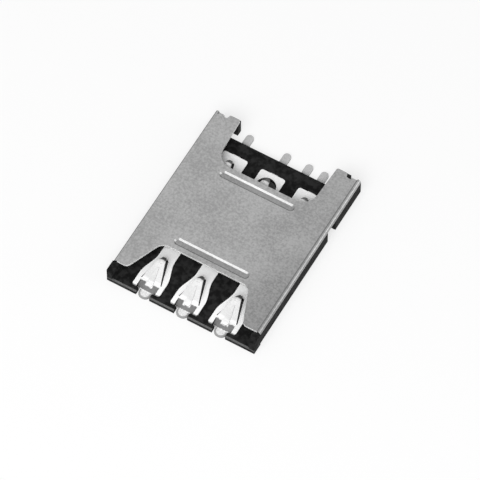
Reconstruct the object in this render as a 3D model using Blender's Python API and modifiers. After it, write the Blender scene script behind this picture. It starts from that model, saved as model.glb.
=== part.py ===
"""Nano card connector, push-pull type, for soldering on a circuit board.

A black moulded housing carries six sprung contacts and one card detect spring,
and a stamped metal shell covers it. The card goes in from -Y towards +Y.
Sizes are in millimetres and become metres where points enter Blender. +Z is up
from the board, and the origin is on the board at the middle of the outline.
"""

import math

import bmesh
import bpy
from mathutils import Matrix, Vector

MM = 0.001

# The card that the connector takes
CARD_WIDTH = 8.8
CARD_LENGTH = 12.3
CARD_THICKNESS = 0.67
CARD_SIDE_PLAY = 0.05
CONTACT_PITCH = 2.54
ROW_SPACING = 7.62

# Housing
HOUSING_LENGTH = 12.69
MOUTH_BLOCK_WIDTH = 9.88
MOUTH_BLOCK_HEIGHT = 1.17
FLOOR_THICKNESS = 0.34
FLOOR_TO_STOP = 0.49
FAR_LEDGE_INSET = 1.15
STOP_POST_WIDTH = 0.74
RIGHT_POST_WIDTH = 0.91
WALL_END_SETBACK = 0.1
WALL_NOTCH_LENGTH = 0.9
WALL_NOTCH_DEPTH = 0.55
WALL_NOTCH_FROM_MOUTH = 9.12
MOUTH_CHAMFER = 0.09
MOUTH_FLARE = 0.14
MOUTH_FLARE_LENGTH = 0.5

# Shell, one stamped and bent sheet
SHELL_SHEET = 0.15
SHELL_WIDTH = 9.79
SHELL_MOUTH_SETBACK = 0.75
SHELL_FAR_SETBACK = 0.06
SHELL_BEND = 0.2
SKIRT_HEIGHT = 0.28
MOUTH_CUT_LENGTH = 2.36
MOUTH_CUT_WIDTH = 7.75
MOUTH_CUT_TAPER = 22.5
MOUTH_CUT_SHIFT = -0.12
MOUTH_CUT_ROUND = 0.6
MOUTH_TIP_ROUND = 0.34
FAR_NOTCH_LENGTH = 3.13
FAR_NOTCH_WIDTH = 6.56
FAR_NOTCH_NARROWING = 0.15
FAR_NOTCH_ROUND = 0.95
RELIEF_WIDTH = 0.33
RELIEF_DEPTH = 0.28
RELIEF_INSET = 0.735
TAB_ROUND = 0.12
FAR_LOBE_SETBACK = 0.07
RIB_LENGTH = 5.0
RIB_WIDTH = 0.5
RIB_DEPTH = 0.1
RIB_FORM_PAST = 0.02
RIB_END_FLAT = 0.02
RIB_TO_CARD = 0.01
RIB_SHIFT = -0.02
RIB_FROM_NEAR_TIPS = 1.44
RIB_FROM_FAR_TIPS = 0.925
FAR_LEG_SLIT = 0.04
SIDE_LEG_LENGTH = 1.0
SIDE_LEG_FROM_END = 1.55

# Contacts, each one stamped and bent sheet
CONTACT_SHEET = 0.13
CONTACT_PROUD = 0.02
FORMED_THINNING = 0.012
TIP_HEIGHT = 0.62
TONGUE_LENGTH = 1.22
TONGUE_ROOT_WIDTH = 1.24
TONGUE_TIP_WIDTH = 0.2
TIP_REACH = 0.4
TIP_DROP = 0.27
TIP_ROUND = 0.22
TONGUE_BEND = 0.35
SLIT = 0.07
TIP_SLIT = 0.11
POINT_WIDTH = 0.3
POINT_HEIGHT = 0.05
FRAME_NARROW_WIDTH = 1.07
FRAME_WIDE_WIDTH = 1.83
FRAME_FLARE_START = 0.6
FRAME_FLARE_LENGTH = 1.58
NEAR_FRAME_REACH = 1.55
ARM_CORNER = 0.12
ROOT_LENGTH = 0.14
SLOPE_LENGTH = 0.44
SLOPE_WIDTH = 1.2
ARM_PAST_SLOPE = 0.08
NEAR_TAIL_LENGTH = 0.49
NEAR_TAIL_WIDTH = 0.76
NEAR_TAIL_REACH = 0.07
BEAD_LENGTH = 1.15
BEAD_WIDTH = 0.5
BEAD_TIP_WIDTH = 0.12
BEAD_HEIGHT = 0.05
BEAD_ON_SLOPE = 0.2
BEAD_SOFT_EDGE = 0.035
FAR_FRAME_WIDTH = 1.65
FAR_FRAME_REACH = 1.02
FAR_ROOT_LENGTH = 0.33
FAR_FRAME_ROUND = 0.15
ARCH_WIDTH = 1.24
ARCH_REACH = 0.68
FAR_TAIL_WIDTH = 0.5
FAR_TAIL_SETBACK = 0.02
FAR_TAIL_SLOPE = 0.22
FAR_TAIL_LAP = 0.3
FAR_TAIL_BEND = 0.1

# Card detect spring
SWITCH_OFFSET = 1.5
SWITCH_ARM_WIDTH = 0.36
SWITCH_ROOT_FROM_FAR = 3.6
SWITCH_ROOT_BEND = 0.5
SWITCH_SHOULDER = 0.3
SWITCH_ARM_LENGTH = 1.9
SWITCH_TIP_REACH = 0.3
SWITCH_TIP_DROP = 0.18
SWITCH_TIP_ROUND = 0.25
SWITCH_SLOT_END_GAP = 0.15

# Running clearances
SEAT_GAP = 0.015
SLIDE_GAP = 0.02
SLOT_GAP = 0.065
ARC_STEPS = 6
SMOOTH_UNDER = 20

# Heights
FLOOR_TOP = FLOOR_THICKNESS
PLATE_TOP = FLOOR_TOP + CONTACT_PROUD
PLATE_BOTTOM = PLATE_TOP - CONTACT_SHEET
PLATE_MIDDLE = PLATE_TOP - CONTACT_SHEET / 2
FORMED_SHEET = CONTACT_SHEET - FORMED_THINNING
TAIL_MIDDLE = FORMED_SHEET / 2
SHELL_UNDERSIDE = PLATE_TOP + CARD_THICKNESS + RIB_TO_CARD + RIB_DEPTH
SHELL_TOP = SHELL_UNDERSIDE + SHELL_SHEET
SKIRT_BOTTOM = SHELL_TOP - SKIRT_HEIGHT
RAIL_TOP = SHELL_UNDERSIDE - SEAT_GAP

# Places along Y, of a contact from its tip
SLOPE_START = TONGUE_LENGTH + ROOT_LENGTH
SLOPE_END = SLOPE_START + SLOPE_LENGTH
ARM_REACH = SLOPE_END + ARM_PAST_SLOPE
NEAR_TAIL_END = SLOPE_END + NEAR_TAIL_LENGTH
BEAD_END = SLOPE_START + BEAD_ON_SLOPE
FAR_FRAME_BACK = TONGUE_LENGTH + FAR_ROOT_LENGTH

# Places along Y
MOUTH_TO_TIPS = NEAR_TAIL_END - NEAR_TAIL_REACH
OVERALL_LENGTH = HOUSING_LENGTH + NEAR_TAIL_REACH
MOUTH_Y = NEAR_TAIL_REACH - OVERALL_LENGTH / 2
FAR_Y = MOUTH_Y + HOUSING_LENGTH
NEAR_TIPS_Y = MOUTH_Y + MOUTH_TO_TIPS
FAR_TIPS_Y = NEAR_TIPS_Y + ROW_SPACING
STOP_Y = MOUTH_Y + CARD_LENGTH
FLOOR_FAR_Y = STOP_Y - FLOOR_TO_STOP
SHELL_NEAR_Y = MOUTH_Y + SHELL_MOUTH_SETBACK
SHELL_FAR_Y = FAR_Y - SHELL_FAR_SETBACK
LOBE_FAR_Y = SHELL_FAR_Y - FAR_LOBE_SETBACK
WALL_FAR_Y = FAR_Y - WALL_END_SETBACK
SWITCH_ROOT_Y = FAR_Y - SWITCH_ROOT_FROM_FAR
SWITCH_CREST_Y = SWITCH_ROOT_Y - SWITCH_ARM_LENGTH
SWITCH_TIP_Y = SWITCH_CREST_Y - SWITCH_TIP_REACH
NOTCH_NEAR_Y = MOUTH_Y + WALL_NOTCH_FROM_MOUTH - WALL_NOTCH_LENGTH / 2

# Places along X, of the right half
SLOT_X = CARD_WIDTH / 2 + CARD_SIDE_PLAY
SHELL_X = SHELL_WIDTH / 2
SHELL_INNER_X = SHELL_X - SHELL_SHEET
RAIL_X = SHELL_INNER_X - SLIDE_GAP
LEDGE_X = SHELL_X - FAR_LEDGE_INSET
POST_INNER_X = FAR_NOTCH_WIDTH / 2
POST_OUTER_X = POST_INNER_X + STOP_POST_WIDTH
RIGHT_POST_OUTER_X = POST_INNER_X + RIGHT_POST_WIDTH
RELIEF_X = SHELL_X - RELIEF_INSET
FAR_LEG_INNER_X = RELIEF_X + RELIEF_WIDTH / 2
FAR_LEG_OUTER_X = SHELL_X - SHELL_BEND - FAR_LEG_SLIT

CONTACT_COLUMNS = (-CONTACT_PITCH, 0.0, CONTACT_PITCH)


def clear_scene():
    for old in list(bpy.data.objects):
        bpy.data.objects.remove(old, do_unlink=True)


def new_collection(name):
    made = bpy.data.collections.new(name)
    bpy.context.scene.collection.children.link(made)
    return made


def material(name, colour, metallic, roughness):
    made = bpy.data.materials.new(name)
    made.use_nodes = True
    shader = made.node_tree.nodes["Principled BSDF"]
    shader.inputs["Base Color"].default_value = (*colour, 1.0)
    shader.inputs["Metallic"].default_value = metallic
    shader.inputs["Roughness"].default_value = roughness
    return made


# Outlines in a plane

def mirrored(right_half):
    """The outline's right half, from its near end to its far end, and the left half after it."""
    return right_half + [(-corner[0], *corner[1:]) for corner in reversed(right_half)]


def rounded(corners, steps=ARC_STEPS):
    """Points of a closed outline of corners (x, y) or (x, y, radius), with each radius as an arc."""
    points = []
    for index, corner in enumerate(corners):
        at = Vector(corner[:2])
        radius = corner[2] if len(corner) > 2 else 0.0
        if radius == 0:
            points.append(tuple(at))
            continue
        back = (Vector(corners[index - 1][:2]) - at).normalized()
        ahead = (Vector(corners[(index + 1) % len(corners)][:2]) - at).normalized()
        points += arc_between(at, back, ahead, radius, steps)
    return points


def arc_between(at, back, ahead, radius, steps):
    """An arc that replaces the corner at, between the directions back and ahead."""
    half_angle = back.angle(ahead) / 2
    centre = at + (back + ahead).normalized() * radius / math.sin(half_angle)
    first = at + back * radius / math.tan(half_angle) - centre
    turn = math.pi - 2 * half_angle
    if first.x * (at - centre).y - first.y * (at - centre).x < 0:
        turn = -turn
    arc = []
    for step in range(steps + 1):
        angle = turn * step / steps
        x = first.x * math.cos(angle) - first.y * math.sin(angle)
        y = first.x * math.sin(angle) + first.y * math.cos(angle)
        arc.append((centre.x + x, centre.y + y))
    return arc


def path_with_bends(corners, steps=ARC_STEPS):
    """Points of an open line of corners (y, z, radius), rounded at the inner corners."""
    points = [tuple(corners[0][:2])]
    for before, corner, after in zip(corners, corners[1:], corners[2:]):
        at = Vector(corner[:2])
        back = (Vector(before[:2]) - at).normalized()
        ahead = (Vector(after[:2]) - at).normalized()
        points += arc_between(at, back, ahead, corner[2], steps)
    points.append(tuple(corners[-1][:2]))
    return points


def sheet_section(middle, thickness, raised=0.0):
    """The closed section of a sheet whose middle follows an open line of points, or runs raised above it."""
    points = [Vector(p) for p in middle]
    left, right = [], []
    for index, at in enumerate(points):
        before = points[max(index - 1, 0)]
        after = points[min(index + 1, len(points) - 1)]
        along = (after - before).normalized()
        across = Vector((-along.y, along.x))
        if 0 < index < len(points) - 1:
            across /= max((at - before).normalized().dot(along), 0.5)
        left.append(tuple(at + across * (raised + thickness / 2)))
        right.append(tuple(at + across * (raised - thickness / 2)))
    return left + right[::-1]


# Solids

FLAT = Matrix.Identity(4)
ALONG_X = Matrix(((0, 0, 1, 0), (1, 0, 0, 0), (0, 1, 0, 0), (0, 0, 0, 1)))
ALONG_Y = Matrix(((1, 0, 0, 0), (0, 0, -1, 0), (0, 1, 0, 0), (0, 0, 0, 1)))


def extruded(name, outlines, low, high, collection, turned=FLAT, spread=0.0):
    """A solid of flat outlines between two heights: the first is the outside and the others are holes.

    With a spread, both ends have the outline and the sides between them stand out by it, at 45 degrees.

    FLAT reads the outlines as (x, y) and the heights as z, ALONG_X as (y, z) and x, ALONG_Y as (x, z) and -y.
    """
    curve = bpy.data.curves.new(name, "CURVE")
    curve.dimensions = "2D"
    curve.fill_mode = "BOTH"
    curve.extrude = ((high - low) / 2 - spread) * MM
    curve.bevel_depth = spread * MM
    curve.bevel_resolution = 0
    for outline in outlines:
        spline = curve.splines.new("POLY")
        spline.points.add(len(outline) - 1)
        for point, (x, y) in zip(spline.points, outline):
            point.co = (x * MM, y * MM, 0, 1)
        spline.use_cyclic_u = True
    guide = bpy.data.objects.new(name + "_outline", curve)
    collection.objects.link(guide)
    guide.matrix_world = turned @ Matrix.Translation((0, 0, (low + high) / 2 * MM))
    bpy.context.view_layer.update()
    solid = as_mesh(guide, name, collection)
    bpy.data.objects.remove(guide, do_unlink=True)
    return solid


def as_mesh(source, name, collection):
    """A mesh object with the evaluated shape of another object, in world coordinates."""
    graph = bpy.context.evaluated_depsgraph_get()
    mesh = bpy.data.meshes.new_from_object(source.evaluated_get(graph))
    mesh.name = name
    mesh.transform(source.matrix_world)
    work = bmesh.new()
    work.from_mesh(mesh)
    bmesh.ops.remove_doubles(work, verts=work.verts, dist=0.0002 * MM)
    bmesh.ops.recalc_face_normals(work, faces=work.faces)
    work.to_mesh(mesh)
    work.free()
    made = bpy.data.objects.new(name, mesh)
    collection.objects.link(made)
    return made


def box(name, low, high, collection):
    """A box between two corners."""
    mesh = bpy.data.meshes.new(name)
    work = bmesh.new()
    bmesh.ops.create_cube(work, size=1)
    size = Vector(high) - Vector(low)
    bmesh.ops.scale(work, vec=size * MM, verts=work.verts)
    bmesh.ops.translate(work, vec=(Vector(low) + Vector(high)) / 2 * MM, verts=work.verts)
    work.to_mesh(mesh)
    work.free()
    made = bpy.data.objects.new(name, mesh)
    collection.objects.link(made)
    return made


def combine(target, other, operation):
    """A Boolean of two objects, of which the second stays among the helpers."""
    change = target.modifiers.new(other.name, "BOOLEAN")
    change.operation = operation
    change.solver = "EXACT"
    change.object = other
    return target


def finished(rough, name, collection, surface):
    """The named part that a stack of Booleans makes, shaded smooth round its bends."""
    part = as_mesh(rough, name, collection)
    part.data.materials.clear()
    part.data.materials.append(surface)
    part.data.shade_smooth()
    part.data.set_sharp_from_angle(angle=math.radians(SMOOTH_UNDER))
    return part


# Contacts, with x from the contact's middle and y from its tip

def ease(share):
    return share * share * (3 - 2 * share)


def near_frame_outline(grow=0.0, steps=10):
    """The near contact's flat frame: a narrow far end, flared arms towards the mouth."""
    narrow = FRAME_NARROW_WIDTH / 2 + grow
    wide = FRAME_WIDE_WIDTH / 2 + grow
    flare = []
    for step in range(steps + 1):
        share = step / steps
        x = narrow + (wide - narrow) * ease(1 - share)
        flare.append((x, FRAME_FLARE_START - FRAME_FLARE_LENGTH * (1 - share)))
    arm_tip = -ARM_REACH - grow
    arm_corner = [(wide - ARM_CORNER / 2, arm_tip), (wide, arm_tip + ARM_CORNER)]
    return mirrored(arm_corner + flare + [(narrow, NEAR_FRAME_REACH + grow)])


def tongue_half_width(y):
    """Half the tongue's width, straight from its root to its tip."""
    share = (y + TONGUE_LENGTH) / (TONGUE_LENGTH + TIP_REACH)
    return (TONGUE_ROOT_WIDTH + (TONGUE_TIP_WIDTH - TONGUE_ROOT_WIDTH) * share) / 2


def tongue_window():
    """The hole that a tongue stands in, wider than the tongue by a slit all round."""
    root = -TONGUE_LENGTH
    end = TIP_REACH + TIP_SLIT
    root_x = tongue_half_width(root) + SLIT
    tip_x = tongue_half_width(TIP_REACH) + SLIT
    return rounded(mirrored([(root_x, root), (tip_x, end, tip_x * 0.8)]), 3)


def arch_window():
    """The wide, round-ended hole in the frame of a contact whose tongue stands free."""
    x = ARCH_WIDTH / 2
    return rounded(mirrored([(x, -TONGUE_LENGTH), (x, ARCH_REACH, x * 0.98)]), 8)


def tongue_rise():
    """The side view of a tongue as corners (y, z, bend radius), from its root over the tip to its end."""
    return [
        (-TONGUE_LENGTH, PLATE_MIDDLE, TONGUE_BEND),
        (0.0, PLATE_MIDDLE + TIP_HEIGHT, TIP_ROUND),
        (TIP_REACH, PLATE_MIDDLE + TIP_HEIGHT - TIP_DROP),
    ]


def near_side():
    """The side view of a near contact's middle strip: tail, slope, root and tongue."""
    start = [
        (-NEAR_TAIL_END, TAIL_MIDDLE),
        (-SLOPE_END, TAIL_MIDDLE, 0.12),
        (-SLOPE_START, PLATE_MIDDLE, 0.2),
    ]
    return path_with_bends(start + tongue_rise())


def formed_strip(name, side, plan, helpers, thickness=FORMED_SHEET, raised=0.0):
    """A bent strip: the sheet's side view run across, cut to its outline seen from above."""
    section = sheet_section(side, thickness, raised)
    strip = extruded(name, [section], -CONTACT_PITCH, CONTACT_PITCH, helpers, ALONG_X)
    outline = extruded(name + "_plan", [plan], -1, 3, helpers)
    return combine(strip, outline, "INTERSECT")


def near_strip_plan():
    tail = NEAR_TAIL_WIDTH / 2
    slope = SLOPE_WIDTH / 2
    return rounded(
        mirrored(
            [
                (tail, -NEAR_TAIL_END, tail * 0.85),
                (tail, -SLOPE_END - 0.02),
                (slope, -SLOPE_END + 0.08),
                (slope, -TONGUE_LENGTH - 0.08),
            ]
            + tongue_sides()
        ),
        5,
    )


def tongue_sides():
    root = (tongue_half_width(-TONGUE_LENGTH), -TONGUE_LENGTH)
    return [root, (tongue_half_width(TIP_REACH), TIP_REACH + 0.02, 0.06)]


def bead_plan(inset):
    """The raised bead that stiffens a near contact's root, narrow and round at its far end."""
    wide = BEAD_WIDTH / 2 - inset
    narrow = BEAD_TIP_WIDTH / 2 - inset / 2
    near = -BEAD_END + inset
    far = BEAD_LENGTH - BEAD_END - inset
    return rounded(mirrored([(wide, near, wide * 0.75), (narrow, far, narrow * 0.9)]), 5)


def press_bead(strip, helpers):
    """Presses the bead up out of the strip: raised above, hollow below."""
    rise = formed_strip("bead", near_side(), bead_plan(0.0), helpers, raised=BEAD_HEIGHT)
    edge = rise.modifiers.new("soft_edge", "BEVEL")
    edge.width = BEAD_SOFT_EDGE * MM
    edge.segments = 2
    edge.limit_method = "ANGLE"
    edge.angle_limit = math.radians(60)
    combine(strip, rise, "UNION")
    below = BEAD_HEIGHT - FORMED_SHEET
    hollow = formed_strip("bead_hollow", near_side(), bead_plan(BEAD_SOFT_EDGE), helpers, raised=below)
    combine(strip, hollow, "DIFFERENCE")


def press_point(strip, side, name, helpers):
    """Presses the round contact point up at the crest of the tongue."""
    crest_y, crest_z = max(side, key=lambda point: point[1])
    half = POINT_WIDTH / 2
    radius = (half ** 2 + POINT_HEIGHT ** 2) / (2 * POINT_HEIGHT)
    top = crest_z + FORMED_SHEET / 2 + POINT_HEIGHT
    for label, drop, operation in (("_point", 0.0, "UNION"), ("_hollow", FORMED_SHEET, "DIFFERENCE")):
        centre = (0, crest_y, top - drop - radius)
        ball = sphere(name + label, radius, centre, helpers)
        if operation == "UNION":
            foot = top - POINT_HEIGHT - FORMED_SHEET / 2
            cap_low = (-half, crest_y - half, foot)
            cap = box(name + "_cap", cap_low, (half, crest_y + half, foot + 1), helpers)
            combine(ball, cap, "INTERSECT")
        combine(strip, ball, operation)


def sphere(name, radius, centre, collection):
    mesh = bpy.data.meshes.new(name)
    work = bmesh.new()
    bmesh.ops.create_uvsphere(work, u_segments=32, v_segments=32, radius=radius * MM)
    work.to_mesh(mesh)
    work.free()
    made = bpy.data.objects.new(name, mesh)
    made.location = Vector(centre) * MM
    collection.objects.link(made)
    return made


def near_contact_mesh(helpers):
    frame = extruded("near_frame", [near_frame_outline(), tongue_window()], PLATE_BOTTOM, PLATE_TOP, helpers)
    arm_gap_x = (SLOPE_WIDTH + SLIT) / 2
    arm_gap = box("near_arm_gap", (-arm_gap_x, -ARM_REACH - 1, 0), (arm_gap_x, -SLOPE_START, 1), helpers)
    combine(frame, arm_gap, "DIFFERENCE")
    strip = formed_strip("near_strip", near_side(), near_strip_plan(), helpers)
    press_bead(strip, helpers)
    press_point(strip, near_side(), "near", helpers)
    return combine(frame, strip, "UNION")


def far_tail(name, grow, helpers):
    """The tail strip of a far contact, or the space that it needs when grow is over nothing."""
    tail_end = FAR_Y - FAR_TAIL_SETBACK - FAR_TIPS_Y
    side = path_with_bends(
        [
            (FAR_FRAME_REACH - FAR_TAIL_LAP, PLATE_MIDDLE),
            (FAR_FRAME_REACH, PLATE_MIDDLE, FAR_TAIL_BEND),
            (FAR_FRAME_REACH + FAR_TAIL_SLOPE, TAIL_MIDDLE, FAR_TAIL_BEND),
            (tail_end + grow, TAIL_MIDDLE),
        ],
        4,
    )
    width = FAR_TAIL_WIDTH / 2 + grow
    section = sheet_section(side, FORMED_SHEET + 2 * grow)
    strip = extruded(name, [section], -width, width, helpers, ALONG_X)
    if grow == 0:
        half = [(width, 0), (width, tail_end, width * 0.95)]
        plan = extruded(name + "_plan", [rounded(mirrored(half))], -1, 2, helpers)
        combine(strip, plan, "INTERSECT")
    return strip


def far_frame_outline(grow=0.0):
    x = FAR_FRAME_WIDTH / 2 + grow
    near = -FAR_FRAME_BACK - grow
    far = FAR_FRAME_REACH + grow
    corner = FAR_FRAME_ROUND
    return rounded(mirrored([(x, near, corner), (x, far, corner)]), 4)


def far_contact_mesh(name, window, helpers):
    frame = extruded(name + "_frame", [far_frame_outline(), window], PLATE_BOTTOM, PLATE_TOP, helpers)
    lap = FAR_ROOT_LENGTH * 0.8
    side = path_with_bends([(-TONGUE_LENGTH - lap, PLATE_MIDDLE)] + tongue_rise())
    root_x = tongue_half_width(-TONGUE_LENGTH)
    plan = rounded(mirrored([(root_x, -TONGUE_LENGTH - lap - 1)] + tongue_sides()), 5)
    strip = formed_strip(name + "_tongue", side, plan, helpers)
    press_point(strip, side, name, helpers)
    combine(frame, strip, "UNION")
    combine(frame, far_tail(name + "_tail", 0.0, helpers), "UNION")
    return frame


def place_copies(mesh, names, places, surface, collection):
    """One object for each repeated piece. They share one mesh."""
    for name, (x, y) in zip(names, places):
        part = bpy.data.objects.new(name, mesh)
        part.location = (x * MM, y * MM, 0)
        collection.objects.link(part)
    mesh.materials.clear()
    mesh.materials.append(surface)
    mesh.shade_smooth()
    mesh.set_sharp_from_angle(angle=math.radians(SMOOTH_UNDER))


def contacts(parts, helpers, plating):
    near = as_mesh(near_contact_mesh(helpers), "near_contact", helpers)
    slit_far = as_mesh(far_contact_mesh("far", tongue_window(), helpers), "far_contact", helpers)
    arch_far = as_mesh(far_contact_mesh("arch", arch_window(), helpers), "arch_contact", helpers)
    left, middle, right = CONTACT_COLUMNS
    place_copies(
        near.data,
        ["contact_near_left", "contact_near_middle", "contact_near_right"],
        [(x, NEAR_TIPS_Y) for x in CONTACT_COLUMNS],
        plating,
        parts,
    )
    place_copies(
        slit_far.data,
        ["contact_far_left", "contact_far_right"],
        [(left, FAR_TIPS_Y), (right, FAR_TIPS_Y)],
        plating,
        parts,
    )
    place_copies(arch_far.data, ["contact_far_middle"], [(middle, FAR_TIPS_Y)], plating, parts)
    for pattern in (near, slit_far, arch_far):
        bpy.data.objects.remove(pattern, do_unlink=True)


# Card detect spring

def detect_spring(parts, helpers, plating):
    """Tail along the board, then an arm that rises through the floor to just under the shell."""
    tail = FAR_TAIL_WIDTH / 2
    arm = SWITCH_ARM_WIDTH / 2
    far = FAR_Y - FAR_TAIL_SETBACK
    crest_z = SHELL_UNDERSIDE - SLIDE_GAP - FORMED_SHEET / 2
    side = path_with_bends(
        [
            (far, TAIL_MIDDLE),
            (SWITCH_ROOT_Y, TAIL_MIDDLE, SWITCH_ROOT_BEND),
            (SWITCH_CREST_Y, crest_z, SWITCH_TIP_ROUND),
            (SWITCH_TIP_Y, crest_z - SWITCH_TIP_DROP),
        ]
    )
    half = [
        (arm, SWITCH_TIP_Y - 1),
        (arm, SWITCH_ROOT_Y + SWITCH_SHOULDER / 3),
        (tail, SWITCH_ROOT_Y + SWITCH_SHOULDER),
        (tail, far, tail * 0.95),
    ]
    strip = formed_strip("switch_strip", side, rounded(mirrored(half)), helpers)
    part = finished(strip, "detect_spring", parts, plating)
    part.location.x = SWITCH_OFFSET * MM


# Housing

def housing(parts, helpers, plastic):
    walls = [
        (SHELL_X, 0),
        (SHELL_X, SKIRT_BOTTOM - SLIDE_GAP),
        (RAIL_X, SKIRT_BOTTOM - SLIDE_GAP),
        (RAIL_X, RAIL_TOP),
    ]
    near_start = -(MOUTH_Y + SHELL_MOUTH_SETBACK / 2)
    body = extruded("housing_tray", [mirrored(walls)], -WALL_FAR_Y, near_start, helpers, ALONG_Y)
    mouth_x = MOUTH_BLOCK_WIDTH / 2
    block_far = SHELL_NEAR_Y - SLIDE_GAP
    block = box("mouth_block", (-mouth_x, MOUTH_Y, 0), (mouth_x, block_far, MOUTH_BLOCK_HEIGHT), helpers)
    combine(body, block, "UNION")
    cut_card_slot(body, helpers)
    stop_posts(body, helpers)
    cut_far_opening(body, helpers)
    cut_side_walls(body, helpers)
    cut_contact_seats(body, helpers)
    cut_switch_slot(body, helpers)
    return finished(body, "housing", parts, plastic)


def cut_card_slot(body, helpers):
    """The space for the card, flared at the mouth, with a chamfer along the floor's near edge."""
    flare_x = SLOT_X + MOUTH_FLARE
    half = [
        (flare_x, MOUTH_Y - 1),
        (flare_x, MOUTH_Y),
        (SLOT_X, MOUTH_Y + MOUTH_FLARE_LENGTH),
        (SLOT_X, FAR_Y + 1),
    ]
    combine(body, extruded("card_slot", [mirrored(half)], FLOOR_TOP, 3, helpers), "DIFFERENCE")
    low = FLOOR_TOP - MOUTH_CHAMFER
    wedge = [(MOUTH_Y - 1, low - 1), (MOUTH_Y - 1, FLOOR_TOP + 1), (MOUTH_Y + MOUTH_CHAMFER + 1, FLOOR_TOP + 1)]
    chamfer = extruded("mouth_chamfer", [wedge], -SLOT_X, SLOT_X, helpers, ALONG_X)
    combine(body, chamfer, "DIFFERENCE")


def stop_posts(body, helpers):
    """Two posts that the card's far edge meets. The right one is the wider."""
    left = box("stop_post_left", (-POST_OUTER_X, STOP_Y, 0), (-POST_INNER_X, FAR_Y, RAIL_TOP), helpers)
    right = box("stop_post_right", (POST_INNER_X, STOP_Y, 0), (RIGHT_POST_OUTER_X, FAR_Y, RAIL_TOP), helpers)
    for post in (left, right):
        combine(body, post, "UNION")


def cut_far_opening(body, helpers):
    """The board shows between the floor's far edge and the two posts that stop the card."""
    opening = mirrored(
        [
            (LEDGE_X, FLOOR_FAR_Y, 0.12),
            (LEDGE_X, STOP_Y),
            (POST_INNER_X, STOP_Y),
            (POST_INNER_X, FAR_Y + 1),
        ]
    )
    combine(body, extruded("far_opening", [rounded(opening)], -1, 3, helpers), "DIFFERENCE")


def cut_side_walls(body, helpers):
    """A notch right through each side wall, and slots for the shell's legs."""
    for side in (-1, 1):
        inner, outer = sorted((side * (SHELL_X - WALL_NOTCH_DEPTH), side * (SHELL_X + 1)))
        low = (inner, NOTCH_NEAR_Y, -1)
        high = (outer, NOTCH_NEAR_Y + WALL_NOTCH_LENGTH, 3)
        combine(body, box("wall_notch", low, high, helpers), "DIFFERENCE")
        inner, outer = sorted((side * (FAR_LEG_INNER_X - SLIDE_GAP), side * (FAR_LEG_OUTER_X + SLIDE_GAP)))
        low = (inner, LOBE_FAR_Y - SHELL_SHEET - SLIDE_GAP, -1)
        combine(body, box("far_leg_slot", low, (outer, FAR_Y + 1, 3), helpers), "DIFFERENCE")
    for near in side_leg_places():
        low = (-SHELL_X - 1, near - SLIDE_GAP, -1)
        high = (-RAIL_X, near + SIDE_LEG_LENGTH + SLIDE_GAP, 3)
        combine(body, box("side_leg_slot", low, high, helpers), "DIFFERENCE")


def side_leg_places():
    """Where the two legs on the shell's left side start."""
    return (
        SHELL_NEAR_Y + SIDE_LEG_FROM_END,
        WALL_FAR_Y - SIDE_LEG_FROM_END - SIDE_LEG_LENGTH,
    )


def cut_contact_seats(body, helpers):
    """Seats for the contact frames, wells right through under the tongues, and slots for the tails."""
    seat_z = PLATE_BOTTOM - SEAT_GAP
    for x in CONTACT_COLUMNS:
        slope_x = SLOPE_WIDTH / 2 + SEAT_GAP
        tail_x = NEAR_TAIL_WIDTH / 2 + SLOT_GAP
        near_cutters = (
            extruded("near_seat", [near_frame_outline(SEAT_GAP)], seat_z, 3, helpers),
            extruded("near_well", [tongue_window()], -1, 3, helpers),
            box(
                "near_slope_well",
                (-slope_x, -SLOPE_END - SLOT_GAP, -1),
                (slope_x, -SLOPE_START + SLOT_GAP, 3),
                helpers,
            ),
            box("near_tail_slot", (-tail_x, -NEAR_TAIL_END - 1, -1), (tail_x, -SLOPE_END, 3), helpers),
        )
        far_cutters = (
            extruded("far_seat", [far_frame_outline(SEAT_GAP)], seat_z, 3, helpers),
            extruded("far_well", [tongue_window() if x else arch_window()], -1, 3, helpers),
            far_tail("far_tail_slot", SEAT_GAP, helpers),
        )
        for tips_y, cutters in ((NEAR_TIPS_Y, near_cutters), (FAR_TIPS_Y, far_cutters)):
            for cutter in cutters:
                cutter.location = (x * MM, tips_y * MM, 0)
                combine(body, cutter, "DIFFERENCE")


def cut_switch_slot(body, helpers):
    """A channel under the floor for the detect spring, and the slot that its arm rises through."""
    half = FAR_TAIL_WIDTH / 2 + SEAT_GAP
    left = SWITCH_OFFSET - half
    right = SWITCH_OFFSET + half
    channel_top = FORMED_SHEET + SEAT_GAP
    channel = box("switch_channel", (left, SWITCH_ROOT_Y, -1), (right, FAR_Y + 1, channel_top), helpers)
    combine(body, channel, "DIFFERENCE")
    slot_near = SWITCH_TIP_Y - SWITCH_SLOT_END_GAP
    slot_far = SWITCH_ROOT_Y + SWITCH_ROOT_BEND
    combine(body, box("switch_slot", (left, slot_near, -1), (right, slot_far, 3), helpers), "DIFFERENCE")


# Shell

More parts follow.
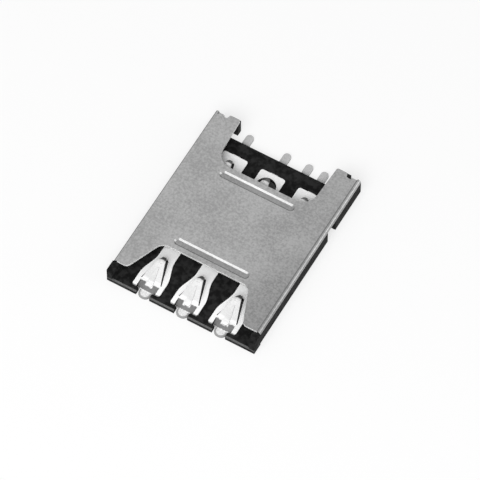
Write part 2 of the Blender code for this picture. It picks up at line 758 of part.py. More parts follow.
def shell(parts, helpers, steel):
    half = SHELL_SHEET / 2
    top = SHELL_TOP - half
    side = SHELL_X - half
    bend = SHELL_BEND - half
    section = sheet_section(
        path_with_bends([(-side, SKIRT_BOTTOM), (-side, top, bend), (side, top, bend), (side, SKIRT_BOTTOM)]),
        SHELL_SHEET,
    )
    cover = extruded("shell_sheet", [section], -SHELL_FAR_Y, -SHELL_NEAR_Y, helpers, ALONG_Y)
    combine(cover, mouth_cut(helpers), "DIFFERENCE")
    combine(cover, far_notch(helpers), "DIFFERENCE")
    for side_sign in (-1, 1):
        cut_far_corner(cover, side_sign, helpers)
    for y in (NEAR_TIPS_Y + RIB_FROM_NEAR_TIPS, FAR_TIPS_Y - RIB_FROM_FAR_TIPS):
        press_rib(cover, y, helpers)
    for side_sign in (-1, 1):
        combine(cover, far_leg(side_sign, helpers), "UNION")
    for near in side_leg_places():
        low = (-SHELL_X, near, 0)
        high = (-SHELL_INNER_X, near + SIDE_LEG_LENGTH, SKIRT_BOTTOM + 0.05)
        combine(cover, box("side_leg", low, high, helpers), "UNION")
    return finished(cover, "shell", parts, steel)


def mouth_cut(helpers):
    """The cut-out over the near contacts: wide at the mouth, with slanted sides and round corners."""
    near_x = MOUTH_CUT_WIDTH / 2
    far_x = near_x - MOUTH_CUT_LENGTH * math.tan(math.radians(MOUTH_CUT_TAPER))
    beyond = near_x + 2 * MOUTH_TIP_ROUND
    half = [
        (beyond, SHELL_NEAR_Y - 1),
        (beyond, SHELL_NEAR_Y),
        (near_x, SHELL_NEAR_Y, MOUTH_TIP_ROUND),
        (far_x, SHELL_NEAR_Y + MOUTH_CUT_LENGTH, MOUTH_CUT_ROUND),
    ]
    made = extruded("mouth_cut", [rounded(mirrored(half))], -1, 3, helpers)
    made.location.x = MOUTH_CUT_SHIFT * MM
    return made


def far_notch(helpers):
    """The notch over the far contacts, a little narrower at its round-cornered near end."""
    x = FAR_NOTCH_WIDTH / 2
    near_y = SHELL_FAR_Y - FAR_NOTCH_LENGTH
    half = [
        (x - FAR_NOTCH_NARROWING, near_y, FAR_NOTCH_ROUND),
        (x, SHELL_FAR_Y, TAB_ROUND),
        (x + 2 * TAB_ROUND, SHELL_FAR_Y),
        (x + 2 * TAB_ROUND, SHELL_FAR_Y + 1),
    ]
    return extruded("far_notch", [rounded(mirrored(half), 8)], -1, 3, helpers)


def cut_far_corner(cover, side, helpers):
    """A bend relief beside each far corner, whose outer lobe is a little shorter."""
    middle = side * RELIEF_X
    half = RELIEF_WIDTH / 2
    depth = SHELL_FAR_Y - RELIEF_DEPTH
    tab_x = middle - side * half
    lobe_x = middle + side * half
    beside = tab_x - side * 2 * TAB_ROUND
    outline = rounded(
        [
            (beside, SHELL_FAR_Y + 1),
            (beside, SHELL_FAR_Y),
            (tab_x, SHELL_FAR_Y, TAB_ROUND),
            (tab_x, depth, half * 0.9),
            (lobe_x, depth, half * 0.9),
            (lobe_x, SHELL_FAR_Y + 1),
        ],
        4,
    )
    combine(cover, extruded("bend_relief", [outline], -1, 3, helpers), "DIFFERENCE")
    inner, outer = sorted((middle, side * (SHELL_X + 1)))
    low = (inner, LOBE_FAR_Y, -1)
    combine(cover, box("lobe_end", low, (outer, SHELL_FAR_Y + 1, 3), helpers), "DIFFERENCE")
    inner, outer = sorted((middle, side * (FAR_LEG_OUTER_X + FAR_LEG_SLIT)))
    low = (inner, LOBE_FAR_Y - SHELL_BEND - 0.02, -1)
    high = (outer, SHELL_FAR_Y + 1, 3)
    combine(cover, box("leg_root", low, high, helpers), "DIFFERENCE")


def far_leg(side, helpers):
    """A solder leg that bends down from the shell's far edge into the end of a side wall."""
    half = SHELL_SHEET / 2
    top = SHELL_TOP - half
    face = LOBE_FAR_Y - half
    line = path_with_bends([(face - SHELL_BEND - 0.1, top), (face, top, SHELL_BEND - half), (face, 0)])
    inner, outer = sorted((side * FAR_LEG_INNER_X, side * FAR_LEG_OUTER_X))
    return extruded("far_leg", [sheet_section(line, SHELL_SHEET - FORMED_THINNING)], inner, outer, helpers, ALONG_X)


def press_rib(cover, y, helpers):
    """A rib pressed down into the sheet: a groove with 45 degree walls, and the swell of the sheet below it."""
    thicker = 2 * SHELL_SHEET * math.tan(math.radians(45) / 2)
    swell = rib_form("rib_swell", RIB_WIDTH + thicker, SHELL_UNDERSIDE, y, helpers)
    reach = RIB_LENGTH
    slab_top = SHELL_UNDERSIDE + SHELL_SHEET / 2
    slab = box("rib_slab", (-reach, y - reach, 0), (reach, y + reach, slab_top), helpers)
    combine(swell, slab, "INTERSECT")
    combine(cover, swell, "UNION")
    combine(cover, rib_form("rib_groove", RIB_WIDTH, SHELL_TOP, y, helpers), "DIFFERENCE")


def rib_form(name, width, face, y, helpers):
    """A round-ended block with 45 degree lower sides, that has this width where it passes the face."""
    half_width = width / 2 - RIB_DEPTH
    half_length = RIB_LENGTH / 2 - RIB_WIDTH / 2 + half_width
    ends = half_width - RIB_END_FLAT / 2
    corners = [(-half_length, -half_width), (half_length, -half_width)]
    corners += [(half_length, half_width), (-half_length, half_width)]
    plan = [(x + RIB_SHIFT, across + y, ends) for x, across in corners]
    low = face - RIB_DEPTH
    high = low + 6 * RIB_DEPTH
    return extruded(name, [rounded(plan)], low, high, helpers, spread=RIB_DEPTH + RIB_FORM_PAST)


def main():
    clear_scene()
    parts = new_collection("card_connector")
    helpers = new_collection("construction")
    plastic = material("black_moulding", (0.018, 0.018, 0.019), 0.0, 0.45)
    steel = material("satin_steel", (0.56, 0.56, 0.57), 1.0, 0.38)
    plating = material("bright_plating", (0.86, 0.86, 0.85), 1.0, 0.22)
    housing(parts, helpers, plastic)
    contacts(parts, helpers, plating)
    detect_spring(parts, helpers, plating)
    shell(parts, helpers, steel)
    helpers.hide_render = True
    for helper in helpers.objects:
        helper.hide_render = True
        helper.display_type = "WIRE"


main()
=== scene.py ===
import math

import bpy
from mathutils import Matrix, Vector


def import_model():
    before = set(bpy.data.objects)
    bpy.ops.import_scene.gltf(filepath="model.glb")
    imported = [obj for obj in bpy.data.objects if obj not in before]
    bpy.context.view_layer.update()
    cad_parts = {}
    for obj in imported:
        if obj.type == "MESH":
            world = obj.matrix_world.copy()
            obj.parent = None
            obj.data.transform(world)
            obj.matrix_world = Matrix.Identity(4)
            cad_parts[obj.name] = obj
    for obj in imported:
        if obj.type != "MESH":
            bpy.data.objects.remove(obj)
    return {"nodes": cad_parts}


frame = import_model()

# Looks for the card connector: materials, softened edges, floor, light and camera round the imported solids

MM = 0.001

# Values in the sections on materials: a noise is its scale per mm, its detail and its roughness, and levels
# are two greys, for its low and its high end. A span is two values: what grows over it is 0 up to the first
# and 1 from the second on, and the second may be the smaller one.


# Node trees. The mix node has sockets for each kind of value, and these are the ones for colours.

COLOUR_SHARE = 0
COLOUR_FIRST = 6
COLOUR_SECOND = 7
COLOUR_RESULT = 2


def grey(level):
    return (level, level, level, 1.0)


def plug(links, socket, value):
    """Links the value to the socket if it is an output, and otherwise writes it there."""
    if isinstance(value, bpy.types.NodeSocket):
        links.new(value, socket)
    else:
        socket.default_value = value


class Tree:
    """A short way to add and link the nodes of one material."""

    def __init__(self, name):
        self.material = bpy.data.materials.new(name)
        self.material.use_nodes = True
        self.nodes = self.material.node_tree.nodes
        self.links = self.material.node_tree.links
        self.shader = self.nodes["Principled BSDF"]
        self.output = self.nodes["Material Output"]

    def fill(self, node, values):
        """Sets a node's inputs by name, with an underscore for each space."""
        for name, value in values.items():
            plug(self.links, node.inputs[name.replace("_", " ")], value)
        return node

    def add(self, kind, **values):
        return self.fill(self.nodes.new(kind), values)

    def set(self, **values):
        self.fill(self.shader, values)

    def math(self, operation, *terms):
        node = self.nodes.new("ShaderNodeMath")
        node.operation = operation
        for socket, term in zip(node.inputs, terms):
            plug(self.links, socket, term)
        return node.outputs[0]

    def wrap(self, value, half):
        """Repeats the range from minus half to plus half."""
        return self.math("WRAP", value, half, -half)

    def all_of(self, *shares):
        total = shares[0]
        for share in shares[1:]:
            total = self.math("MULTIPLY", total, share)
        return total

    def any_of(self, *shares):
        total = shares[0]
        for share in shares[1:]:
            total = self.math("MAXIMUM", total, share)
        return total

    def weighted(self, *pairs):
        """The sum of values, each times its weight."""
        terms = [self.math("MULTIPLY", value, weight) for value, weight in pairs]
        total = terms[0]
        for term in terms[1:]:
            total = self.math("ADD", total, term)
        return total

    def grows(self, value, span, results=(0.0, 1.0)):
        """Goes smoothly from the first result to the second over a span of the value."""
        node = self.nodes.new("ShaderNodeMapRange")
        node.interpolation_type = "SMOOTHSTEP"
        names = ("Value", "From Min", "From Max", "To Min", "To Max")
        for name, term in zip(names, (value, *span, *results)):
            plug(self.links, node.inputs[name], term)
        return node.outputs["Result"]

    def mix(self, share, first, second):
        node = self.nodes.new("ShaderNodeMix")
        node.data_type = "RGBA"
        plug(self.links, node.inputs[COLOUR_SHARE], share)
        plug(self.links, node.inputs[COLOUR_FIRST], first)
        plug(self.links, node.inputs[COLOUR_SECOND], second)
        return node.outputs[COLOUR_RESULT]

    def mottled(self, noise, span, levels):
        """A grey that follows a noise from the first level to the second."""
        low, high = levels
        return self.mix(self.grows(noise, span), grey(low), grey(high))

    def place(self):
        """Positions in the object's own frame, in millimetres."""
        coords = self.nodes.new("ShaderNodeTexCoord")
        scaled = self.nodes.new("ShaderNodeVectorMath")
        scaled.operation = "SCALE"
        scaled.inputs["Scale"].default_value = 1 / MM
        self.links.new(coords.outputs["Object"], scaled.inputs[0])
        return scaled.outputs[0]

    def axes(self, vector):
        return self.add("ShaderNodeSeparateXYZ", Vector=vector).outputs

    def level_share(self):
        """1 where the surface lies level, 0 where it stands upright."""
        coords = self.nodes.new("ShaderNodeTexCoord")
        return self.math("ABSOLUTE", self.axes(coords.outputs["Normal"])["Z"])

    def stretched(self, vector, scale):
        return self.add("ShaderNodeMapping", Vector=vector, Scale=scale).outputs[0]

    def noise(self, vector, kind):
        scale, detail, rough = kind
        node = self.add("ShaderNodeTexNoise", Vector=vector, Scale=scale, Detail=detail, Roughness=rough)
        return node.outputs["Fac"]

    def bump(self, height, strength, depth, normal=None):
        """A relief of the depth in mm, on top of another one if there is one."""
        node = self.add("ShaderNodeBump", Height=height, Strength=strength, Distance=depth * MM)
        if normal is not None:
            self.links.new(normal, node.inputs["Normal"])
        return node.outputs["Normal"]


# Cover steel, with places in mm

STEEL_MOTTLE = (7.5, 3.0, 0.6)
STEEL_CLOUD = (0.55, 1.0, 0.5)
STEEL_STREAK = (1.0, 2.0, 0.5)
STREAK_STRETCH = (1.5, 14.0, 14.0)
MOTTLE_IN_TONE = 0.6
STREAK_IN_TONE = 0.15
CLOUD_IN_TONE = 0.25
TONE_SPAN = (0.36, 0.64)

PLAIN_STEEL_LEVELS = (0.315, 0.455)
# Painted shade: the steel's tone darkened towards the right and the near right corner
SHADED_STEEL_LEVELS = (0.225, 0.335)
# Painted shade on the level floor of the pressed lines
GROOVE_SHADE_LEVELS = (0.23, 0.33)
# Painted shade on a thin line where the right bend starts
BEND_SHADE_LEVEL = 0.17
# Painted shade on the outer left bend
LEFT_BEND_SHADE_LEVEL = 0.07
# Sheared edges: matt, and lightened in part as a painted highlight
SHEARED_HIGHLIGHT_LEVEL = 0.75

# Spans and shares of the painted shade towards the right and towards the near right corner
SHADE_TO_RIGHT = (0.0, 4.5)
SHADE_TO_CORNER = (3.0, 7.0)
CORNER_SLANT = 0.5
RIGHT_IN_SHADE = 0.4
CORNER_IN_SHADE = 0.6

BEND_LINE_X = 4.695
INSIDE_BEND = (BEND_LINE_X, BEND_LINE_X - 0.02)
BEND_SHADE_SPAN = (0.04, 0.02)
LEFT_BEND_X = -4.82
LEFT_BEND = (LEFT_BEND_X + 0.01, LEFT_BEND_X - 0.01)
SHEET_BOTTOM_Z = 1.14
SHEET_TOP_Z = 1.29
ON_BEND = (SHEET_BOTTOM_Z - 0.01, SHEET_BOTTOM_Z + 0.01)
IN_SHEET = (SHEET_BOTTOM_Z - 0.01, SHEET_BOTTOM_Z)
IN_GROOVE = (SHEET_TOP_Z - 0.05, SHEET_TOP_Z - 0.08)
LYING_LEVEL = (0.85, 0.95)
STANDING_UPRIGHT = (0.5, 0.25)

STREAK_IN_ROUGHNESS = 0.4
MOTTLE_IN_ROUGHNESS = 0.6
STEEL_ROUGHNESS_SPAN = (0.3, 0.7)
STEEL_ROUGHNESS = (0.28, 0.36)
STEEL_METALLIC = (1.0, 0.2)
STEEL_BUMP = 0.35
STEEL_BUMP_DEPTH = 0.004


def cover_steel():
    """Satin rolled sheet with a fine mottle and faint streaks, painted shade towards the right, on the floor
    of the pressed lines and along the bends, and sheared edges that are matt and partly a painted highlight.
    """
    tree = Tree("cover_steel_look")
    place = tree.place()
    axes = tree.axes(place)
    x, y, z = axes["X"], axes["Y"], axes["Z"]
    level = tree.level_share()
    mottle = tree.noise(place, STEEL_MOTTLE)
    cloud = tree.noise(place, STEEL_CLOUD)
    streak = tree.noise(tree.stretched(place, STREAK_STRETCH), STEEL_STREAK)
    tone = tree.weighted((mottle, MOTTLE_IN_TONE), (streak, STREAK_IN_TONE), (cloud, CLOUD_IN_TONE))

    plain_tone = tree.mottled(tone, TONE_SPAN, PLAIN_STEEL_LEVELS)
    shaded_tone = tree.mottled(tone, TONE_SPAN, SHADED_STEEL_LEVELS)
    # Painted shade: the steel grows darker towards the right and towards the near right corner.
    to_corner = tree.math("SUBTRACT", x, tree.math("MULTIPLY", y, CORNER_SLANT))
    to_right = tree.grows(x, SHADE_TO_RIGHT)
    to_corner = tree.grows(to_corner, SHADE_TO_CORNER)
    painted_shade = tree.weighted((to_right, RIGHT_IN_SHADE), (to_corner, CORNER_IN_SHADE))
    colour = tree.mix(painted_shade, plain_tone, shaded_tone)

    # Painted shade: a thin dark line along the start of the right bend, a dark reflection painted in.
    from_line = tree.math("ABSOLUTE", tree.math("SUBTRACT", x, BEND_LINE_X))
    colour = tree.mix(tree.grows(from_line, BEND_SHADE_SPAN), colour, grey(BEND_SHADE_LEVEL))
    # Painted shade: a dark band along the outer left bend.
    left_bend_shade = tree.all_of(tree.grows(x, LEFT_BEND), tree.grows(z, ON_BEND))
    colour = tree.mix(left_bend_shade, colour, grey(LEFT_BEND_SHADE_LEVEL))
    between_bends = tree.grows(tree.math("ABSOLUTE", x), INSIDE_BEND)
    # Painted shade: the level floor of the pressed lines is darkened.
    groove_shade = tree.all_of(tree.grows(z, IN_GROOVE), tree.grows(level, LYING_LEVEL), between_bends)
    colour = tree.mix(groove_shade, colour, tree.mottled(tone, TONE_SPAN, GROOVE_SHADE_LEVELS))
    # The sheared edges are matt, and their light grey is partly a painted highlight along the cut.
    sheared_and_highlight = tree.all_of(tree.grows(level, STANDING_UPRIGHT), tree.grows(z, IN_SHEET), between_bends)
    colour = tree.mix(sheared_and_highlight, colour, grey(SHEARED_HIGHLIGHT_LEVEL))

    rubbed = tree.weighted((streak, STREAK_IN_ROUGHNESS), (mottle, MOTTLE_IN_ROUGHNESS))
    roughness = tree.grows(rubbed, STEEL_ROUGHNESS_SPAN, STEEL_ROUGHNESS)
    metallic = tree.grows(sheared_and_highlight, (0.0, 1.0), STEEL_METALLIC)
    normal = tree.bump(mottle, STEEL_BUMP, STEEL_BUMP_DEPTH)
    tree.set(Base_Color=colour, Metallic=metallic, Roughness=roughness, Normal=normal)
    return tree.material


# Black moulding, with places in mm. The lead-in chamfer at the mouth, the lip, carries a painted highlight.

MOULDING_GRAIN = (30.0, 3.0, 0.6)
MOULDING_CLOUD = (2.6, 3.0, 0.6)
CLOUD_SPAN = (0.38, 0.62)
LIP_HIGHLIGHT_SPAN = (0.35, 0.65)
MOULDING_LEVELS = (0.008, 0.022)
LIP_HIGHLIGHT_LEVELS = (0.06, 0.15)

LIP_TOP_Y = -6.22
LIP_TOP_Z = 0.34
LIP_FOOT_Z = 0.25
BEFORE_LIP_TOP = (LIP_TOP_Y + 0.015, LIP_TOP_Y - 0.015)
ABOVE_LIP_FOOT = (LIP_FOOT_Z - 0.015, LIP_FOOT_Z + 0.015)
BELOW_LIP_TOP = (LIP_TOP_Z + 0.03, LIP_TOP_Z + 0.01)

MOULDING_ROUGHNESS_SPAN = (0.3, 0.7)
MOULDING_ROUGHNESS = (0.52, 0.66)
MOULDING_SHINE = 0.03
MOULDING_BUMP = 0.35
MOULDING_BUMP_DEPTH = 0.006


def black_moulding():
    """Glass-filled moulding compound: near black, slightly mottled, matt with a fine spark-eroded grain."""
    tree = Tree("black_moulding_look")
    place = tree.place()
    axes = tree.axes(place)
    grain = tree.noise(place, MOULDING_GRAIN)
    cloud = tree.noise(place, MOULDING_CLOUD)
    before_top = tree.grows(axes["Y"], BEFORE_LIP_TOP)
    # Painted highlight: a lighter line along the lead-in chamfer at the mouth.
    lip_highlight = tree.all_of(before_top, tree.grows(axes["Z"], ABOVE_LIP_FOOT), tree.grows(axes["Z"], BELOW_LIP_TOP))
    colour = tree.mottled(cloud, CLOUD_SPAN, MOULDING_LEVELS)
    colour = tree.mix(lip_highlight, colour, tree.mottled(grain, LIP_HIGHLIGHT_SPAN, LIP_HIGHLIGHT_LEVELS))
    roughness = tree.grows(grain, MOULDING_ROUGHNESS_SPAN, MOULDING_ROUGHNESS)
    normal = tree.bump(grain, MOULDING_BUMP, MOULDING_BUMP_DEPTH)
    tree.set(Base_Color=colour, Metallic=0.0, Roughness=roughness, Normal=normal)
    tree.set(Specular_IOR_Level=MOULDING_SHINE)
    return tree.material


# Contact plating, with places in mm

PLATING_GRAIN = (16.0, 3.0, 0.6)
PLATING_LINES = (1.0, 2.0, 0.5)
LINES_STRETCH = (30.0, 2.0, 30.0)
PLATING_WOBBLE = (7.0, 1.0, 0.5)
WOBBLE_REACH = 0.12
NOISE_MIDDLE = 0.5
FINE_SPAN = (0.35, 0.65)
COARSE_SPAN = (0.3, 0.7)

BRIGHT_LEVELS = (0.87, 0.93)
# Painted shade on the raised tongues
TONGUE_SHADE_LEVELS = (0.64, 0.73)
# Painted shade on the tongues' bent-down tips
TIP_SHADE_LEVELS = (0.04, 0.12)
SLOPE_LEVELS = (0.12, 0.17)
FAR_TAIL_LEVELS = (0.40, 0.54)
NEAR_TAIL_LEVELS = (0.60, 0.86)
TAIL_RIM_SHADE_LEVEL = 0.30
BEAD_LEVEL = 0.80
# Painted shade on faces that tilt away from level
CUT_EDGE_SHADE_LEVEL = 0.25
CUT_EDGE_SHADE_SHARE = 0.85

CONTACT_PITCH = 2.54
ROW_SPACING = 7.62
NEAR_TIP_Y = -4.09
SLOPE_TOP_Y = -5.45
SLOPE_FOOT_Y = -5.89
SLOPE_HALF_WIDTH = 0.6
BEAD_FOOT_Y = -5.65
BEAD_HALF_WIDTH = 0.25
FAR_TAIL_Y = 5.42
NEAR_TAIL_MIDDLE_Y = -6.0
NEAR_TAIL_HALF_WIDTH = 0.38
TONGUE_CLEAR_Z = 0.40

PAST_SLOPE_TOP = (SLOPE_TOP_Y + 0.04, SLOPE_TOP_Y - 0.03)
BEFORE_SLOPE_FOOT = (SLOPE_FOOT_Y - 0.03, SLOPE_FOOT_Y + 0.04)
BETWEEN_ARMS = (SLOPE_HALF_WIDTH + 0.03, SLOPE_HALF_WIDTH)
PAST_BEAD_FOOT = (BEAD_FOOT_Y + 0.04, BEAD_FOOT_Y - 0.03)
BESIDE_BEAD = (BEAD_HALF_WIDTH - 0.05, BEAD_HALF_WIDTH + 0.02)
ON_FAR_TAIL = (FAR_TAIL_Y - 0.12, FAR_TAIL_Y + 0.12)
ON_NEAR_TAIL = (SLOPE_FOOT_Y, SLOPE_FOOT_Y - 0.04)
ON_TAIL_RIM = (NEAR_TAIL_HALF_WIDTH - 0.13, NEAR_TAIL_HALF_WIDTH - 0.06)
ON_TONGUE = (TONGUE_CLEAR_Z - 0.02, TONGUE_CLEAR_Z + 0.06)
PAST_CREST = (0.06, 0.14)
ON_CUT_EDGE = (0.84, 0.55)

PLATING_ROUGHNESS = (0.36, 0.44)
PLATING_METALLIC = 0.05
GRAIN_BUMP = 0.2
LINES_BUMP = 0.12
PLATING_BUMP_DEPTH = 0.003


def contact_plating():
    """Bright plating on the springs, with darker slopes and dull tails, and painted shade on the raised
    tongues, their bent-down tips, the near tails' rims and the cut edges.
    """
    tree = Tree("contact_plating_look")
    place = tree.place()
    axes = tree.axes(place)
    x, y, z = axes["X"], axes["Y"], axes["Z"]
    across = tree.math("ABSOLUTE", tree.wrap(x, CONTACT_PITCH / 2))
    grain = tree.noise(place, PLATING_GRAIN)
    lines = tree.noise(tree.stretched(place, LINES_STRETCH), PLATING_LINES)
    wobble = tree.math("SUBTRACT", tree.noise(place, PLATING_WOBBLE), NOISE_MIDDLE)
    along = tree.math("ADD", y, tree.math("MULTIPLY", wobble, WOBBLE_REACH))

    past_top = tree.grows(along, PAST_SLOPE_TOP)
    before_foot = tree.grows(along, BEFORE_SLOPE_FOOT)
    slope = tree.all_of(past_top, before_foot, tree.grows(across, BETWEEN_ARMS))
    off_bead = tree.any_of(tree.grows(across, BESIDE_BEAD), tree.grows(along, PAST_BEAD_FOOT))
    bead = tree.all_of(slope, tree.math("SUBTRACT", 1.0, off_bead))
    darker_slope = tree.all_of(slope, off_bead)

    tongue = tree.grows(z, ON_TONGUE)
    # Painted shade: the tongue's tip past its crest, which turns down, is painted near black.
    from_tip = tree.wrap(tree.math("SUBTRACT", y, NEAR_TIP_Y), ROW_SPACING / 2)
    tip_shade = tree.all_of(tree.grows(from_tip, PAST_CREST), tongue)

    # Painted shade: a grey ring round the rim of the near tails.
    ahead = tree.math("SUBTRACT", y, NEAR_TAIL_MIDDLE_Y)
    square = tree.math("ADD", tree.math("MULTIPLY", across, across), tree.math("MULTIPLY", ahead, ahead))
    tail_rim_shade = tree.grows(tree.math("SQRT", square), ON_TAIL_RIM)
    near_tail = tree.mottled(grain, FINE_SPAN, NEAR_TAIL_LEVELS)
    near_tail = tree.mix(tail_rim_shade, near_tail, grey(TAIL_RIM_SHADE_LEVEL))
    # Painted shade: faces tilted away from level, the cut edges and steep walls, are darkened.
    cut_edge_shade = tree.all_of(tree.grows(tree.level_share(), ON_CUT_EDGE), CUT_EDGE_SHADE_SHARE)

    colour = tree.mottled(grain, FINE_SPAN, BRIGHT_LEVELS)
    # Painted shade: the raised tongues are painted greyer than the flat frames.
    colour = tree.mix(tongue, colour, tree.mottled(grain, FINE_SPAN, TONGUE_SHADE_LEVELS))
    colour = tree.mix(bead, colour, grey(BEAD_LEVEL))
    # The slopes down to the tails are darker, apart from the bead.
    colour = tree.mix(darker_slope, colour, tree.mottled(grain, COARSE_SPAN, SLOPE_LEVELS))
    colour = tree.mix(tree.grows(y, ON_FAR_TAIL), colour, tree.mottled(grain, COARSE_SPAN, FAR_TAIL_LEVELS))
    colour = tree.mix(tree.grows(y, ON_NEAR_TAIL), colour, near_tail)
    colour = tree.mix(tip_shade, colour, tree.mottled(grain, COARSE_SPAN, TIP_SHADE_LEVELS))
    colour = tree.mix(cut_edge_shade, colour, grey(CUT_EDGE_SHADE_LEVEL))

    roughness = tree.grows(grain, COARSE_SPAN, PLATING_ROUGHNESS)
    normal = tree.bump(grain, GRAIN_BUMP, PLATING_BUMP_DEPTH)
    normal = tree.bump(lines, LINES_BUMP, PLATING_BUMP_DEPTH, normal)
    tree.set(Base_Color=colour, Metallic=PLATING_METALLIC, Roughness=roughness, Normal=normal)
    return tree.material


# Softened edges: widths in mm, angles in degrees

SHELL_EDGE = 0.03
CONTACT_EDGE = 0.018
MOULDING_EDGE = 0.03
EDGE_STEPS = 2
BEVEL_FROM = 50
CREASE_FROM = 40
FLAT_WITHIN = 0.3
WELD_WITHIN = 0.00005
FACE_WEIGHT = 100


def soften(node, width):
    """Rounds a solid's sharp edges a little, so that they catch the light."""
    mesh = node.data
    custom = mesh.attributes.get("custom_normal")
    if custom:
        mesh.attributes.remove(custom)
    mesh.polygons.foreach_set("use_smooth", [True] * len(mesh.polygons))
    weld = node.modifiers.new("weld", "WELD")
    weld.merge_threshold = WELD_WITHIN * MM
    flat = node.modifiers.new("flat", "DECIMATE")
    flat.decimate_type = "DISSOLVE"
    flat.angle_limit = math.radians(FLAT_WITHIN)
    edge = node.modifiers.new("edge", "BEVEL")
    edge.width = width * MM
    edge.segments = EDGE_STEPS
    edge.limit_method = "ANGLE"
    edge.angle_limit = math.radians(BEVEL_FROM)
    edge.miter_outer = "MITER_ARC"
    crease = node.modifiers.new("crease", "EDGE_SPLIT")
    crease.split_angle = math.radians(CREASE_FROM)
    crease.use_edge_sharp = False
    normals = node.modifiers.new("normals", "WEIGHTED_NORMAL")
    normals.mode = "FACE_AREA"
    normals.weight = FACE_WEIGHT


def dress(nodes):
    """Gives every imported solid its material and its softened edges."""
    looks = {
        "shell": (cover_steel(), SHELL_EDGE),
        "housing": (black_moulding(), MOULDING_EDGE),
    }
    plating = contact_plating()
    for name, node in nodes.items():
        look, edge = looks.get(name, (plating, CONTACT_EDGE))
        node.data.materials.clear()
        node.data.materials.append(look)
        soften(node, edge)


# Floor and room. The sheet's half size is in metres, and the rest in mm.

FLOOR_HALF = 0.6
FLOOR_DROP = 0.02
FLOOR_LIT = 0.5
FLOOR_SEEN = 0.86
# Painted shadow on the ground under the part
FLOOR_SHADOW_UNDER_PART = 0.12
FLOOR_GLOW = 0.7
FLOOR_ROUGHNESS = 0.9

COVERED_X = 4.6
COVERED_FROM_Y = -5.9
COVERED_TO_Y = 4.95
BESIDE_PART = (COVERED_X - 0.3, COVERED_X)
BEYOND_PART = (COVERED_TO_Y - 0.3, COVERED_TO_Y)
BEFORE_PART = (COVERED_FROM_Y + 0.3, COVERED_FROM_Y)

ROOM_LEVEL = 0.36


def seen_plainly(nodes, links):
    """1 for rays from the camera, from metal and through glass, and 0 for those that light the object."""
    path = nodes.new("ShaderNodeLightPath")
    total = path.outputs["Is Camera Ray"]
    for kind in ("Is Glossy Ray", "Is Transmission Ray"):
        either = nodes.new("ShaderNodeMath")
        either.operation = "MAXIMUM"
        links.new(total, either.inputs[0])
        links.new(path.outputs[kind], either.inputs[1])
        total = either.outputs[0]
    return total


def floor_look():
    """White to the camera, with the object's shadow on it, and a painted shadow on the ground that the part
    covers.
    """
    tree = Tree("floor_white")
    seen = seen_plainly(tree.nodes, tree.links)
    axes = tree.axes(tree.place())
    beside = tree.grows(tree.math("ABSOLUTE", axes["X"]), BESIDE_PART)
    beyond = tree.grows(axes["Y"], BEYOND_PART)
    before = tree.grows(axes["Y"], BEFORE_PART)
    open_ground = tree.any_of(beside, beyond, before)
    sheet = tree.mix(seen, grey(FLOOR_LIT), grey(FLOOR_SEEN))
    # Painted shadow: the ground under the part is dark and has no glow.
    sheet = tree.mix(open_ground, grey(FLOOR_SHADOW_UNDER_PART), sheet)
    tree.set(Base_Color=sheet, Roughness=FLOOR_ROUGHNESS, Specular_IOR_Level=0.0)
    glow = tree.add("ShaderNodeEmission", Color=grey(1.0), Strength=1.0)
    mixed = tree.nodes.new("ShaderNodeMixShader")
    terms = (tree.all_of(seen, open_ground, FLOOR_GLOW), tree.shader.outputs[0], glow.outputs[0])
    for socket, term in zip(mixed.inputs, terms):
        tree.links.new(term, socket)
    tree.links.new(mixed.outputs[0], tree.output.inputs["Surface"])
    return tree.material


def floor():
    """A flat sheet just under the part."""
    mesh = bpy.data.meshes.new("floor")
    half = FLOOR_HALF
    corners = [(-half, -half, 0), (half, -half, 0), (half, half, 0), (-half, half, 0)]
    mesh.from_pydata(corners, [], [(0, 1, 2, 3)])
    made = bpy.data.objects.new("floor", mesh)
    made.location.z = -FLOOR_DROP * MM
    bpy.context.scene.collection.objects.link(made)
    made.data.materials.append(floor_look())


def world():
    """A plain white room, dimmer as a light than it looks."""
    made = bpy.data.worlds.new("studio")
    bpy.context.scene.world = made
    made.use_nodes = True
    nodes = made.node_tree.nodes
    links = made.node_tree.links
    plain = nodes["Background"]
    plain.inputs["Color"].default_value = grey(1.0)
    level = nodes.new("ShaderNodeMapRange")
    level.inputs["To Min"].default_value = ROOM_LEVEL
    level.inputs["To Max"].default_value = 1.0
    links.new(seen_plainly(nodes, links), level.inputs["Value"])
    links.new(level.outputs["Result"], plain.inputs["Strength"])


# Lamps: name, direction from the part, width in metres, level where 1 is white, and whether metal mirrors it

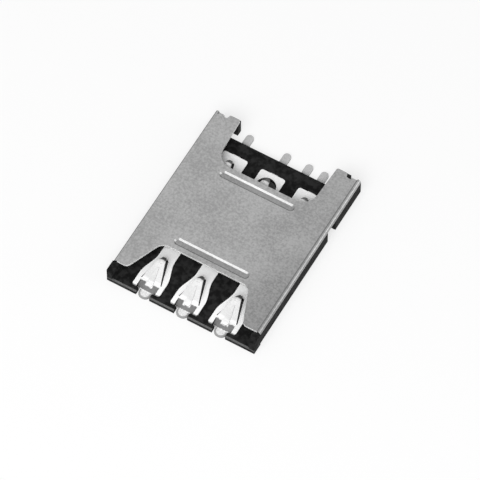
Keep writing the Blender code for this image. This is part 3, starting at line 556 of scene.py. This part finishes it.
LAMPS = (
    ("key", (0.10, -0.64, 0.76), 0.24, 6.1, False),
    ("near_strip", (-0.25, -0.86, 0.44), 0.14, 2.4, True),
    ("side_wall", (0.88, 0.42, 0.22), 0.24, 1.3, True),
)
LAMP_DISTANCE = 0.3


def lamp(name, direction, width, level, mirrored):
    """A round soft lamp that faces the part."""
    data = bpy.data.lights.new(name, "AREA")
    data.shape = "DISK"
    data.size = width
    data.energy = level * math.pi * math.pi * (width / 2) ** 2
    made = bpy.data.objects.new(name, data)
    made.location = Vector(direction).normalized() * LAMP_DISTANCE
    made.rotation_euler = (-Vector(direction)).to_track_quat("-Z", "Y").to_euler()
    made.visible_glossy = mirrored
    bpy.context.scene.collection.objects.link(made)


# Camera: angles in degrees, its distance and target in mm, lens and sensor in mm, and its clipping in metres

CAMERA_AZIMUTH = 30.07
CAMERA_ELEVATION = 59.66
CAMERA_DISTANCE = 291.4
CAMERA_TARGET = (0.5388, -0.3412, 0.4366)
CAMERA_LENS = 374.95
CAMERA_SENSOR = 36
CAMERA_SEES = (0.01, 10)


def camera():
    """The photo's view, turned by azimuth and elevation round the target."""
    azimuth = math.radians(CAMERA_AZIMUTH)
    elevation = math.radians(CAMERA_ELEVATION)
    right = Vector((math.cos(azimuth), math.sin(azimuth), 0))
    flat = math.cos(elevation)
    back = Vector((math.sin(azimuth) * flat, -math.cos(azimuth) * flat, math.sin(elevation)))
    up = back.cross(right)
    aim = Vector(CAMERA_TARGET) * MM
    data = bpy.data.cameras.new("camera")
    data.lens = CAMERA_LENS
    data.sensor_width = CAMERA_SENSOR
    data.clip_start, data.clip_end = CAMERA_SEES
    made = bpy.data.objects.new("camera", data)
    turn = Matrix((right, up, back)).transposed().to_4x4()
    made.matrix_world = Matrix.Translation(aim + back * CAMERA_DISTANCE * MM) @ turn
    bpy.context.scene.collection.objects.link(made)
    bpy.context.scene.camera = made


def main():
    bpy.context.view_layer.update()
    bpy.context.scene.view_settings.view_transform = "Standard"
    camera()
    floor()
    world()
    for settings in LAMPS:
        lamp(*settings)
    dress(frame["nodes"])


main()
